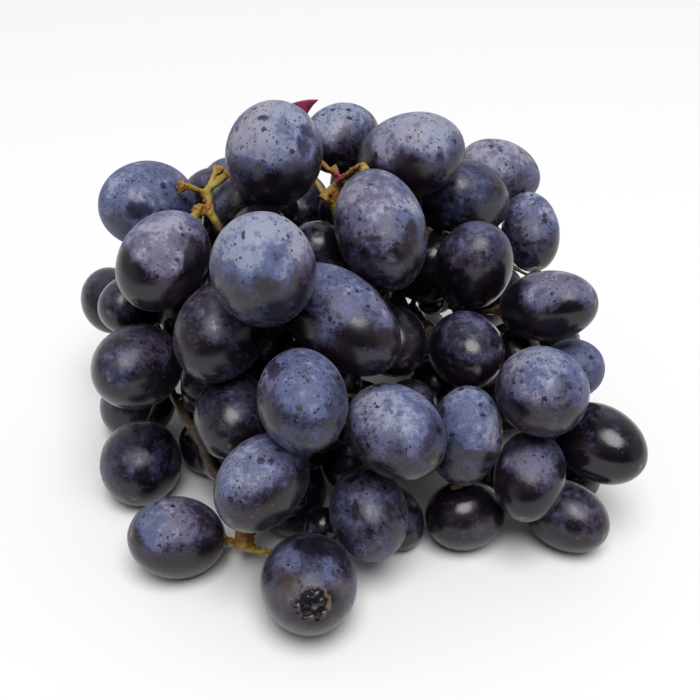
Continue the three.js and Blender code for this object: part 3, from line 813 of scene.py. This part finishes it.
def fine_grape(berry, number):
    carrier = plain_object("grape_" + berry["name"], bpy.data.meshes.new("seedling"))
    growing = carrier.modifiers.new("form", "NODES")
    growing.node_group = GRAPE_FORM
    growing[SOCKETS["Half Length"]] = berry["half_length"] + SWOLLEN
    growing[SOCKETS["Half Width"]] = berry["half_width"] + SWOLLEN
    growing[SOCKETS["Seed"]] = SEED_STEP * number
    if berry["name"] == RING["berry"]:
        growing[SOCKETS["Sides"]] = RING_SIDES
        growing[SOCKETS["Rings"]] = RING_RINGS
    if berry["node"] is None:
        growing[SOCKETS["Sides"]] = INNER_SIDES
        growing[SOCKETS["Rings"]] = INNER_RINGS
    growing[SOCKETS["Skin"]] = SKINS[SLOT_OF.get(berry["node"], "skin_dark")]
    grown = bpy.data.meshes.new_from_object(carrier.evaluated_get(bpy.context.evaluated_depsgraph_get()))
    carrier.modifiers.clear()
    carrier.data = grown
    grown.name = carrier.name
    return carrier


def places_of(mesh):
    flat = np.empty(3 * len(mesh.vertices), dtype=np.float32)
    mesh.vertices.foreach_get("co", flat)
    return flat.reshape(-1, 3).astype(float)


def paint(mesh, name, values):
    layer = mesh.attributes.new(name, "FLOAT", "POINT")
    layer.data.foreach_set("value", np.clip(values, -1, 2).astype(np.float32))


def ring_scar(placed, outward, seen_side):
    """Sinks the skin inside the ring and raises its torn corky rim, which is highest on the upper right."""
    across, down = seen_at(placed)
    across, down = across - RING["across"], down - RING["down"]
    uneven = np.array([noise.noise(Vector(place) / MM * 0.9) for place in placed])
    from_rim = np.hypot(across, down) + uneven * 3 - RING["radius"]
    inside = seen_side / (1 + np.exp(from_rim / 1.6))
    upper_right = 0.45 + 0.55 * np.clip((across - down) / 24, -0.6, 1)
    rim = seen_side * np.exp(-(from_rim / RIM_WIDTH) ** 2) * np.clip(upper_right + uneven * 0.5, 0, 1)
    way = outward / np.linalg.norm(outward, axis=1)[:, None]
    placed += way * (rim * RIM_HEIGHT - inside * (SUNK + uneven * SUNK_UNEVEN))[:, None]
    return inside, rim


def finish_grape(carrier, berry):
    mesh = carrier.data
    local = places_of(mesh)
    turn = np.array(Vector((0, 0, 1)).rotation_difference(berry["axis"]).to_matrix())
    placed = local @ turn.T + np.array(berry["middle"])
    outward = (placed - np.array(berry["middle"])) / berry["half_width"]
    for point, way in berry["pressed_at"]:
        soft_press(placed, point, way)
    if berry["on_table"]:
        soft_press(placed, (0, 0, 0), (0, 0, -1))
        placed[:, 2] = np.maximum(placed[:, 2], 0)
    seen_side = (outward @ np.array(-INWARD) > 0).astype(float)
    # bare patches and painted shade, where the marks lie
    bare_and_shade = seen_side * marked(placed, BARE_AND_SHADE_MARKS.get(berry["name"], ()))
    cork = np.zeros(len(placed))
    if berry["name"] == RING["berry"]:
        cork = seen_side * marked(placed, CORKY)
        inside, rim = ring_scar(placed, outward, seen_side)
        bare_and_shade = np.maximum(bare_and_shade, inside * 1.2) * (1 - rim)
        cork = np.maximum(cork * (1 - inside), rim)
    mesh.vertices.foreach_set("co", placed.astype(np.float32).ravel())
    mesh.update()

    # less bloom towards the underside, which is painted shade, and less bloom, so darker skin, around each
    # contact with another berry
    upper, lower_with_shade = BLOOM_AND_SHADE.get(berry["name"], UNSEEN_BLOOM_AND_SHADE if berry["node"] else INNER_BLOOM_AS_SHADE)
    # painted shade: the bloom falls from its upper to its lower value towards the underside
    facing_up = outward[:, 2] / np.linalg.norm(outward, axis=1)
    drift = np.array([noise.noise(Vector(place) / MM * DRIFT_SCALE) for place in placed])
    share = np.clip((facing_up + drift * 0.5 - 0.05) / 0.75, 0, 1)
    bloom_and_shade = lower_with_shade + (upper - lower_with_shade) * share * share * (3 - 2 * share)
    # less bloom, so darker skin, around each contact with another berry
    for point, _ in berry["pressed_at"]:
        away = np.linalg.norm(placed - np.array(point), axis=1) / CONTACT_DARK_WIDTH
        bloom_and_shade -= DARKER_AT_CONTACT * np.exp(-away ** 2)
    paint(mesh, "bloom_and_shade", bloom_and_shade)

    off_axis = np.linalg.norm(local[:, :2], axis=1)
    tip_scar = np.exp(-(off_axis / TIP_SCAR) ** 4) * (local[:, 2] > 0)
    stalk_scar = np.exp(-(off_axis / STALK_SCAR) ** 6) * (local[:, 2] < 0)
    paint(mesh, "cork", np.maximum(cork, np.maximum(tip_scar * 0.8, stalk_scar * 0.7)))
    paint(mesh, "bare_and_shade", bare_and_shade)
    paint(mesh, "polish", np.full(len(placed), POLISH.get(berry["name"], 0.0)))


grapes = {}
for number, berry in enumerate(all_berries):
    grapes[berry["name"]] = fine_grape(berry, number)
    finish_grape(grapes[berry["name"]], berry)
print("triangles of the berries:", sum(2 * len(g.data.polygons) for g in grapes.values()))

# %% [markdown]
# ## The stem
# The stem is woody and lumpy, not a net of bars. A copy of the solid stem has its loose triangles merged,
# is rebuilt as an even skin of half-millimetre squares, and is smoothed. Noise then raises warts on it. The
# places that are seen to be lumpy, fresh and green, red, magenta or yellow are marks like those on the
# berries. All the rest is dark brown: darker bark, and painted shade for the inside of the bunch.

# %% Make the stem
BARK_SQUARE = 0.45 * MM
LUMP_HEIGHT = 0.22 * MM
WART_HEIGHT = 1.3 * MM
WORN = 0.15 * MM
WARTS_EVERYWHERE = 0.15
STALK_SUNK = 0.2 * MM
STALK_SIDES = 10
SWOLLEN_END = 2.4 * MM
# where the stem keeps its own colours; the rest is painted dark, partly as shade inside the bunch
UNSHADED_STEM = ((200, 188, 46, 32, 1), (345, 178, 36, 32, 1), (262, 208, 12, 10, 1), (252, 540, 26, 14, 1))
LUMPY_STEM = (
    (178, 187, 9, 9, 1), (203, 207, 9, 9, 1), (222, 171, 9, 7, 1), (358, 168, 9, 7, 1), (332, 195, 9, 11, 1),
    (338, 177, 6, 6, 0.6), (254, 541, 24, 11, 0.8),
)
RED_STEM = ((325, 163, 16, 9, 1), (252, 536, 22, 9, 0.5), (198, 193, 4, 3, 0.8), (340, 172, 12, 6, 0.6))
BUD_STEM = ((338, 177, 5.5, 5.5, 1),)
YELLOW_STEM = ((262, 549, 12, 4, 1), (248, 545, 6, 3, 0.8))
STEM_MARKS = dict(unshaded=UNSHADED_STEM, lumpy=LUMPY_STEM, red=RED_STEM, bud=BUD_STEM, yellow=YELLOW_STEM)


def merged_copy(name, node):
    mesh = frame["nodes"][node].data.copy()
    mesh.name = name
    editing = bmesh.new()
    editing.from_mesh(mesh)
    bmesh.ops.remove_doubles(editing, verts=editing.verts, dist=0.001 * MM)
    editing.to_mesh(mesh)
    editing.free()
    mesh.materials.clear()
    return plain_object(name, mesh)


def bake_modifiers(piece):
    done = bpy.data.meshes.new_from_object(piece.evaluated_get(bpy.context.evaluated_depsgraph_get()))
    piece.modifiers.clear()
    piece.data = done
    done.name = piece.name


def rough_bark(mesh):
    places = places_of(mesh)
    outward = np.array([normal.vector for normal in mesh.vertex_normals])
    spots = [Vector(place) / MM for place in places]
    lumps = np.array([noise.noise(spot * 0.55) for spot in spots])
    warts = np.array([noise.noise(spot * 1.3 + Vector((7, 3, 9))) for spot in spots])
    warts = np.maximum(0, warts - 0.08) * (WARTS_EVERYWHERE + marked(places, LUMPY_STEM))
    places += outward * (lumps * LUMP_HEIGHT + warts * WART_HEIGHT - WORN)[:, None]
    mesh.vertices.foreach_set("co", places.astype(np.float32).ravel())
    mesh.update()
    return np.minimum(1, warts * 4)


def add_bar(editing, start, end, thick, thin):
    way = end - start
    turn = Vector((0, 0, 1)).rotation_difference(way).to_matrix().to_4x4()
    turn.translation = (start + end) / 2
    bmesh.ops.create_cone(editing, cap_ends=True, segments=STALK_SIDES, radius1=thick, radius2=thin,
                          depth=way.length, matrix=turn)


def add_inner_stalks(mesh):
    editing = bmesh.new()
    editing.from_mesh(mesh)
    for berry in inner_berries:
        end = berry["middle"] - berry["axis"] * (berry["half_length"] - STALK_SUNK)
        foot = berry["foot"] - berry["axis"] * STALK
        add_bar(editing, foot, end, STALK, STALK)
        add_bar(editing, end - berry["axis"] * SWOLLEN_END, end, STALK, 2 * STALK)
    editing.to_mesh(mesh)
    editing.free()


stem = merged_copy("stem_bark", "stem")
add_inner_stalks(stem.data)
remesh = stem.modifiers.new("even skin", "REMESH")
remesh.mode = "VOXEL"
remesh.voxel_size = BARK_SQUARE
remesh.use_smooth_shade = True
smoothing = stem.modifiers.new("soft edges", "SMOOTH")
smoothing.iterations = 3
smoothing.factor = 0.5
bake_modifiers(stem)
warts = rough_bark(stem.data)
paint(stem.data, "wart", warts)
bark_places = places_of(stem.data)
for name, marks in STEM_MARKS.items():
    paint(stem.data, name, marked(bark_places, marks))
print("triangles of the stem:", 2 * len(stem.data.polygons))


# %% Stem material
FRESH_BARK = ((0.36, 0.27, 0.035, 1), (0.4, 0.36, 0.06, 1))
FRILLS = ((0.1, 0.035, 0.008, 1), (0.45, 0.22, 0.03, 1))
# dark brown bark, also used as painted shade inside the bunch
DARK_BARK_AND_SHADE = ((0.035, 0.02, 0.008, 1), (0.09, 0.05, 0.015, 1))
WART_BROWN = (0.4, 0.17, 0.03, 1)
STALK_RED = (0.3, 0.09, 0.03, 1)
BUD_MAGENTA = (0.33, 0.03, 0.07, 1)
CUT_YELLOW = (0.62, 0.43, 0.05, 1)


def bark_material():
    material, tree, shader = new_material("grape stem bark")
    where = tree.nodes.new("ShaderNodeTexCoord").outputs["Object"]
    parts = cloud(tree, where, 5, detail=3)
    fine = cloud(tree, where, 0.6, detail=5, roughness=0.7)
    flecks = fade(tree, fine, 0.4, 0.6)
    unshaded = blend(tree, fade(tree, parts, 0.4, 0.6), *FRESH_BARK)
    lumpy = calc(tree, "MULTIPLY", attribute(tree, "lumpy"), 0.9)
    colour = blend(tree, lumpy, unshaded, blend(tree, flecks, *FRILLS))
    colour = blend(tree, fade(tree, attribute(tree, "wart"), 0.1, 0.8), colour, WART_BROWN)
    colour = blend(tree, attribute(tree, "red"), colour, STALK_RED)
    colour = blend(tree, attribute(tree, "bud"), colour, BUD_MAGENTA)
    colour = blend(tree, attribute(tree, "yellow"), colour, CUT_YELLOW)
    # outside the unshaded marks the stem is dark brown: darker bark, and painted shade inside the bunch
    dark_and_shaded = blend(tree, flecks, *DARK_BARK_AND_SHADE)
    colour = blend(tree, fade(tree, attribute(tree, "unshaded"), 0.2, 0.6), dark_and_shaded, colour)
    plug(tree, colour, shader.inputs["Base Color"])
    shader.inputs["Roughness"].default_value = 0.6
    plug(tree, bump(tree, fine, 0.15 * MM), shader.inputs["Normal"])
    return material


stem.data.materials.append(bark_material())

# %% [markdown]
# ## The torn skin
# A pointed scrap of skin stands on a bare stalk at the top: magenta where its inside shows, and nearly
# black in patches. The solid is a flat plate with sharp edges, so the copy is rebuilt finely and its edges
# are softened.

# %% Make the torn skin
SCRAP_SQUARE = 0.25 * MM
SCRAP_COLOURS = ((0.27, 0.008, 0.08, 1), (0.05, 0.003, 0.02, 1))

flap = merged_copy("torn_scrap", "torn_skin")
even = flap.modifiers.new("even skin", "REMESH")
even.mode = "VOXEL"
even.voxel_size = SCRAP_SQUARE
even.use_smooth_shade = True
soften = flap.modifiers.new("soft edges", "SMOOTH")
soften.iterations = 2
bake_modifiers(flap)
flap_material, flap_tree, flap_shader = new_material("torn grape skin")
flap_where = flap_tree.nodes.new("ShaderNodeTexCoord").outputs["Object"]
flap_patch = cloud(flap_tree, flap_where, 2.5, detail=4)
flap_colour = blend(flap_tree, fade(flap_tree, flap_patch, 0.4, 0.65), *SCRAP_COLOURS)
plug(flap_tree, flap_colour, flap_shader.inputs["Base Color"])
flap_shader.inputs["Roughness"].default_value = 0.35
flap.data.materials.append(flap_material)
print("triangles of the scrap:", 2 * len(flap.data.polygons))

# %% [markdown]
# ## Handing over
# Every piece rides on the bunch, and each one but the inner berries takes the place of its solid.

# %% Hand over
def hand_over(piece, node):
    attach(piece, "root")
    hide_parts(node)


for berry in berries:
    hand_over(grapes[berry["name"]], berry["node"])
for berry in inner_berries:
    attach(grapes[berry["name"]], "root")
hand_over(stem, "stem")
hand_over(flap, "torn_skin")
